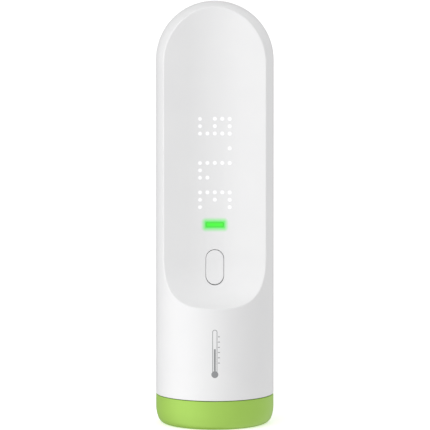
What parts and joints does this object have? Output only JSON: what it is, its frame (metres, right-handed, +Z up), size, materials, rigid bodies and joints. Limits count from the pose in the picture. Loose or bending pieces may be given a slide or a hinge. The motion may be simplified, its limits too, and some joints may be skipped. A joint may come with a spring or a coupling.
{
  "type": "contactless forehead thermometer",
  "caption": "Domed white tube with a scooped front, glowing dot display, push button and pull-off green cap over a downward infrared sensor; reads body temperature without touch.",
  "frame": {"origin": "middle of the cap's flat underside, on the surface that the thermometer stands on", "axes": "+Z up along the case, -Y towards the scooped front with its display and button, +X to the right seen from the front"},
  "size_m": [0.0334, 0.0334, 0.1206],
  "materials": {
    "white_shell": "fine satin moulded ABS",
    "green_cap": "satin moulded polypropylene",
    "white_button": "satin moulded",
    "light_pipe": "clear acrylic, lit green",
    "grey_nose": "satin moulded",
    "black_rubber": "smooth silicone",
    "polished_metal": "bright turned",
    "nickel_can": "nickel plate",
    "dense_metal": "sintered",
    "infrared_window": "dark mirror-smooth",
    "black_chip": "moulded epoxy",
    "circuit_board": "solder mask",
    "frame_plastic": "moulded",
    "dark_baffle": "moulded, matt",
    "led_body": "resin",
    "diffuser": "frosted film",
    "screw_steel": "zinc plate",
    "spring_steel": "nickel plate",
    "cell_jacket": "plain printed film jacket",
    "ceramic_antenna": "fired ceramic",
    "flex_amber": "polyimide film",
    "plunger_plastic": "moulded",
    "lead_jacket": "soft insulation"
  },
  "bodies": {
    "handset": {"ambient_sensor": "black_chip", "antenna_strip": "ceramic_antenna", "battery_left": "cell_jacket", "battery_right": "cell_jacket", "battery_springs": "spring_steel", "board_screws": "screw_steel", "bridge_contact": "spring_steel", "cap_grip_ring": "black_rubber", "case_screws": "screw_steel", "diffuser_film": "diffuser", "display_baffle": "dark_baffle", "display_leds": "led_body", "flex_connector": "frame_plastic", "inner_frame": "frame_plastic", "lower_contacts": "spring_steel", "main_board": "circuit_board", "main_shell": "white_shell", "microcontroller": "black_chip", "motor_can": "nickel_can", "motor_leads": "lead_jacket", "motor_sleeve": "black_rubber", "nose_screws": "screw_steel", "radio_board": "circuit_board", "radio_shield": "nickel_can", "sensor_board": "circuit_board", "sensor_can": "nickel_can", "sensor_cup": "polished_metal", "sensor_flex_cable": "flex_amber", "sensor_header": "nickel_can", "sensor_nose": "grey_nose", "sensor_window": "infrared_window", "status_led": "led_body", "status_light_pipe": "light_pipe", "tact_switch": "black_chip", "thermopile_chip": "black_chip"},
    "cap": {"protective_cap": "green_cap"},
    "door": {"battery_door": "white_shell"},
    "button": {"power_button": "white_button", "switch_plunger": "plunger_plastic"},
    "vibration_weight": {"motor_shaft": "screw_steel", "eccentric_weight": "dense_metal"}
  },
  "joints": [
    {"name": "cap_pull", "type": "slide", "parent": "handset", "child": "cap", "axis": [0, 0, -1], "range_m": [0, 0.015]},
    {"name": "door_swing", "type": "hinge", "parent": "handset", "child": "door", "pos_m": [0, 0.0167, 0.038], "axis": [-1, 0, 0], "range_deg": [0, 25]},
    {"name": "button_press", "type": "slide", "parent": "handset", "child": "button", "axis": [0, 1, 0], "range_m": [0, 0.0004], "stiffness_N_per_m": 1500, "springref_m": -0.0002},
    {"name": "weight_spin", "type": "hinge", "parent": "handset", "child": "vibration_weight", "pos_m": [0.0042, -0.0085, 0.0187], "axis": [1, 0, 0], "continuous": true}
  ]
}
